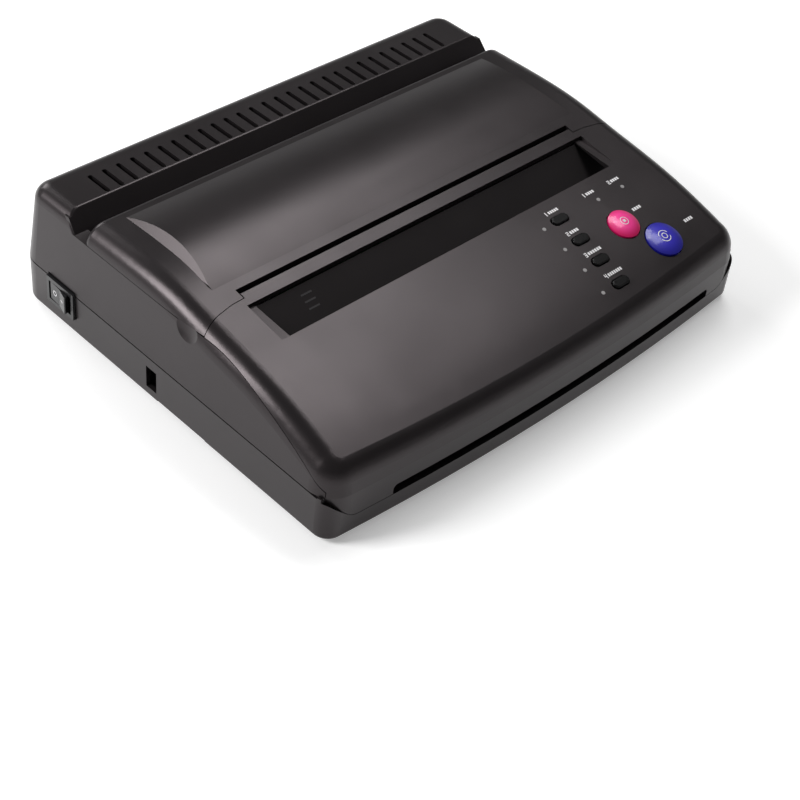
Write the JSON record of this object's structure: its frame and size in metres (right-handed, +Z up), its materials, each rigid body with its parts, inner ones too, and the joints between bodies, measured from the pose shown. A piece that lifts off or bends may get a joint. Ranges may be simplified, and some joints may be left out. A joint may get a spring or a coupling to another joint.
{
  "type": "thermal stencil copier",
  "caption": "Desktop thermal stencil copier: vented rear ridge, hinged domed cover over the print roller, sloping control panel with document recess, keys and side rocker switch.",
  "frame": {"origin": "middle of the bounding box at the underside of the rubber feet", "axes": "+X to the user's right, +Y to the rear (ridge), +Z up; the user stands at -Y"},
  "size_m": [0.2885, 0.2313, 0.0718],
  "materials": {
    "casing_black": "fine matt grain",
    "inner_black": "matt",
    "rubber_black": "matt",
    "rubber_white": "matt",
    "sheet_steel": "zinc plated",
    "steel": "turned",
    "spring_steel": "bright",
    "motor_can": "satin",
    "gear_plastic": "acetal",
    "bush_brass": "turned",
    "board_green": "solder mask",
    "component_black": "moulded",
    "glass": "clear",
    "head_ceramic": "glazed",
    "heatsink_aluminium": "extruded",
    "switch_black": "gloss",
    "key_black": "satin gloss",
    "stop_pink": "clear-coated gloss",
    "copy_blue": "clear-coated gloss",
    "lamp_clear": "diffuse"
  },
  "bodies": {
    "housing": {"base_pan": "casing_black", "upper_casing": "casing_black", "rubber_feet": "rubber_black", "case_screws": "steel", "chassis_frame": "sheet_steel", "chassis_screws": "steel", "panel_shell": "casing_black", "key_board": "board_green", "key_board_screws": "steel", "key_switches": "component_black", "indicator_lamps": "lamp_clear", "document_tray": "inner_black", "upper_guide": "inner_black", "sensor_glass": "glass", "image_sensor": "inner_black", "sensor_springs": "spring_steel", "sensor_cradle": "inner_black", "exit_lip": "inner_black", "stencil_guide": "inner_black", "exit_guide": "inner_black", "platen_bushes": "bush_brass", "feed_bushes": "bush_brass", "idler_axles": "steel", "platen_motor": "motor_can", "feed_motor": "motor_can", "switch_body": "switch_black", "inlet_housing": "switch_black", "inlet_blades": "bush_brass", "main_board": "board_green", "board_standoffs": "gear_plastic", "board_parts": "component_black", "supply_board": "board_green", "supply_standoffs": "gear_plastic", "supply_parts": "component_black"},
    "rear_cover": {"cover_shell": "casing_black", "cover_hinge_pins": "steel", "thermal_head": "head_ceramic", "head_heatsink": "heatsink_aluminium", "head_bracket": "sheet_steel", "head_screws": "steel", "head_springs": "spring_steel"},
    "platen": {"platen_roller": "rubber_black", "platen_shaft": "steel", "platen_gear": "gear_plastic"},
    "platen_idler": {"platen_idler_gear": "gear_plastic"},
    "platen_drive": {"platen_pinion": "gear_plastic", "platen_motor_shaft": "steel"},
    "feed": {"feed_roller": "rubber_white", "feed_shaft": "steel", "feed_gear": "gear_plastic"},
    "feed_idler": {"feed_idler_gear": "gear_plastic"},
    "feed_drive": {"feed_pinion": "gear_plastic", "feed_motor_shaft": "steel"},
    "power_rocker": {"switch_rocker": "switch_black"},
    "key_one": {"key_1": "key_black"},
    "key_two": {"key_2": "key_black"},
    "key_three": {"key_3": "key_black"},
    "key_four": {"key_4": "key_black"},
    "stop_key": {"stop_button": "stop_pink"},
    "copy_key": {"copy_button": "copy_blue"}
  },
  "joints": [
    {"name": "cover_hinge", "type": "hinge", "parent": "housing", "child": "rear_cover", "pos_m": [0.00185, 0.06175, 0.0615], "axis": [-1, 0, 0], "range_deg": [0, 60]},
    {"name": "platen_spin", "type": "hinge", "parent": "housing", "child": "platen", "pos_m": [0.00185, 0.02475, 0.047], "axis": [1, 0, 0], "continuous": true},
    {"name": "platen_idler_spin", "type": "hinge", "parent": "housing", "child": "platen_idler", "pos_m": [0.12635, 0.03227, 0.02633], "axis": [1, 0, 0], "continuous": true},
    {"name": "platen_drive_spin", "type": "hinge", "parent": "housing", "child": "platen_drive", "pos_m": [0.12635, 0.04927, 0.02633], "axis": [1, 0, 0], "continuous": true},
    {"name": "feed_spin", "type": "hinge", "parent": "housing", "child": "feed", "pos_m": [0.00185, -0.09361, 0.02961], "axis": [1, 0, 0], "continuous": true},
    {"name": "feed_idler_spin", "type": "hinge", "parent": "housing", "child": "feed_idler", "pos_m": [0.12635, -0.07588, 0.03273], "axis": [1, 0, 0], "continuous": true},
    {"name": "feed_drive_spin", "type": "hinge", "parent": "housing", "child": "feed_drive", "pos_m": [0.12635, -0.06495, 0.01971], "axis": [1, 0, 0], "continuous": true},
    {"name": "power_rocker_tilt", "type": "hinge", "parent": "housing", "child": "power_rocker", "pos_m": [-0.13655, 0.07925, 0.019], "axis": [0, 0, 1], "range_deg": [0, 13]},
    {"name": "key_one_press", "type": "slide", "parent": "housing", "child": "key_one", "axis": [0, 0.3024, -0.9532], "range_m": [0, 0.0005], "stiffness_N_per_m": 300, "springref_m": -0.0005},
    {"name": "key_two_press", "type": "slide", "parent": "housing", "child": "key_two", "axis": [0, 0.3024, -0.9532], "range_m": [0, 0.0005], "stiffness_N_per_m": 300, "springref_m": -0.0005},
    {"name": "key_three_press", "type": "slide", "parent": "housing", "child": "key_three", "axis": [0, 0.3024, -0.9532], "range_m": [0, 0.0005], "stiffness_N_per_m": 300, "springref_m": -0.0005},
    {"name": "key_four_press", "type": "slide", "parent": "housing", "child": "key_four", "axis": [0, 0.3024, -0.9532], "range_m": [0, 0.0005], "stiffness_N_per_m": 300, "springref_m": -0.0005},
    {"name": "stop_press", "type": "slide", "parent": "housing", "child": "stop_key", "axis": [0, 0.3024, -0.9532], "range_m": [0, 0.0005], "stiffness_N_per_m": 400, "springref_m": -0.0005},
    {"name": "copy_press", "type": "slide", "parent": "housing", "child": "copy_key", "axis": [0, 0.3024, -0.9532], "range_m": [0, 0.0005], "stiffness_N_per_m": 400, "springref_m": -0.0005}
  ],
  "couplings": [
    {"joint": "platen_idler_spin", "follows": "platen_spin", "ratio": -1.2},
    {"joint": "platen_drive_spin", "follows": "platen_spin", "ratio": 1.7143},
    {"joint": "feed_idler_spin", "follows": "feed_spin", "ratio": -0.8},
    {"joint": "feed_drive_spin", "follows": "feed_spin", "ratio": 1.1429}
  ]
}
